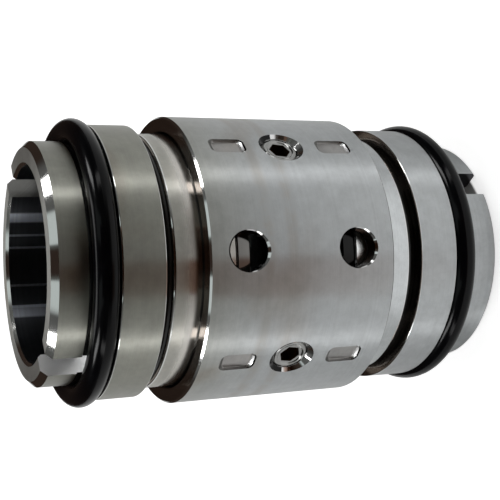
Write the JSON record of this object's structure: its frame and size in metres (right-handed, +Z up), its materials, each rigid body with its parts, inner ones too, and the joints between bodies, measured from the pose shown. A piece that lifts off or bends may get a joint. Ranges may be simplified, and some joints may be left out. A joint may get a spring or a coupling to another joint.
{
  "type": "double mechanical seal",
  "caption": "Double mechanical shaft seal: drive collar with set screws, side holes and dents, sprung seal rings at both ends, and slotted flanged seats with O-rings.",
  "frame": {"origin": "centre of the lower seat's end face, which the seal stands on", "axes": "+Z up along the shaft's axis; the side holes' rows face -Y, +X, +Y and -X"},
  "size_m": [0.04, 0.04, 0.0646],
  "materials": {
    "turned_steel": "satin, fine turned",
    "polished_steel": "polished",
    "black_face": "black, ground and lapped face",
    "black_rubber": "smooth moulded black",
    "spring_wire": "drawn wire"
  },
  "bodies": {
    "lower_seat": {"seat_lower": "turned_steel", "seat_o_ring_lower": "black_rubber"},
    "lower_ring": {"seal_ring_lower": "turned_steel", "face_insert_lower": "black_face", "thrust_ring_lower": "polished_steel", "shaft_o_ring_lower": "black_rubber"},
    "collar": {"drive_collar": "turned_steel", "spring_lower_1": "spring_wire", "spring_lower_2": "spring_wire", "spring_lower_3": "spring_wire", "spring_lower_4": "spring_wire", "spring_lower_5": "spring_wire", "spring_lower_6": "spring_wire", "spring_lower_7": "spring_wire", "spring_lower_8": "spring_wire", "spring_upper_1": "spring_wire", "spring_upper_2": "spring_wire", "spring_upper_3": "spring_wire", "spring_upper_4": "spring_wire", "spring_upper_5": "spring_wire", "spring_upper_6": "spring_wire", "spring_upper_7": "spring_wire", "spring_upper_8": "spring_wire"},
    "upper_ring": {"seal_ring_upper": "turned_steel", "face_insert_upper": "black_face", "thrust_ring_upper": "polished_steel", "shaft_o_ring_upper": "black_rubber"},
    "upper_seat": {"seat_upper": "turned_steel", "seat_o_ring_upper": "black_rubber"},
    "set_screw_1": {"set_screw_1": "polished_steel"},
    "set_screw_2": {"set_screw_2": "polished_steel"},
    "set_screw_3": {"set_screw_3": "polished_steel"},
    "set_screw_4": {"set_screw_4": "polished_steel"}
  },
  "joints": [
    {"name": "lower_face_spin", "type": "hinge", "parent": "lower_seat", "child": "lower_ring", "pos_m": [0, 0, 0.01425], "axis": [0, 0, 1], "continuous": true},
    {"name": "lower_spring_travel", "type": "slide", "parent": "lower_ring", "child": "collar", "axis": [0, 0, -1], "range_m": [0, 0.002], "stiffness_N_per_m": 8000, "springref_m": -0.003, "deforming": ["spring_lower_1", "spring_lower_2", "spring_lower_3", "spring_lower_4", "spring_lower_5", "spring_lower_6", "spring_lower_7", "spring_lower_8"]},
    {"name": "upper_spring_travel", "type": "slide", "parent": "collar", "child": "upper_ring", "axis": [0, 0, -1], "range_m": [0, 0.002], "stiffness_N_per_m": 8000, "springref_m": -0.003, "deforming": ["spring_upper_1", "spring_upper_2", "spring_upper_3", "spring_upper_4", "spring_upper_5", "spring_upper_6", "spring_upper_7", "spring_upper_8"]},
    {"name": "upper_face_spin", "type": "hinge", "parent": "upper_ring", "child": "upper_seat", "pos_m": [0, 0, 0.05095], "axis": [0, 0, 1], "continuous": true},
    {"name": "set_screw_1_feed", "type": "slide", "parent": "collar", "child": "set_screw_1", "axis": [-0.7071, -0.7071, 0], "range_m": [-0.002, 0.0009]},
    {"name": "set_screw_2_feed", "type": "slide", "parent": "collar", "child": "set_screw_2", "axis": [0.7071, -0.7071, 0], "range_m": [-0.002, 0.0009]},
    {"name": "set_screw_3_feed", "type": "slide", "parent": "collar", "child": "set_screw_3", "axis": [0.7071, 0.7071, 0], "range_m": [-0.002, 0.0009]},
    {"name": "set_screw_4_feed", "type": "slide", "parent": "collar", "child": "set_screw_4", "axis": [-0.7071, 0.7071, 0], "range_m": [-0.002, 0.0009]}
  ]
}
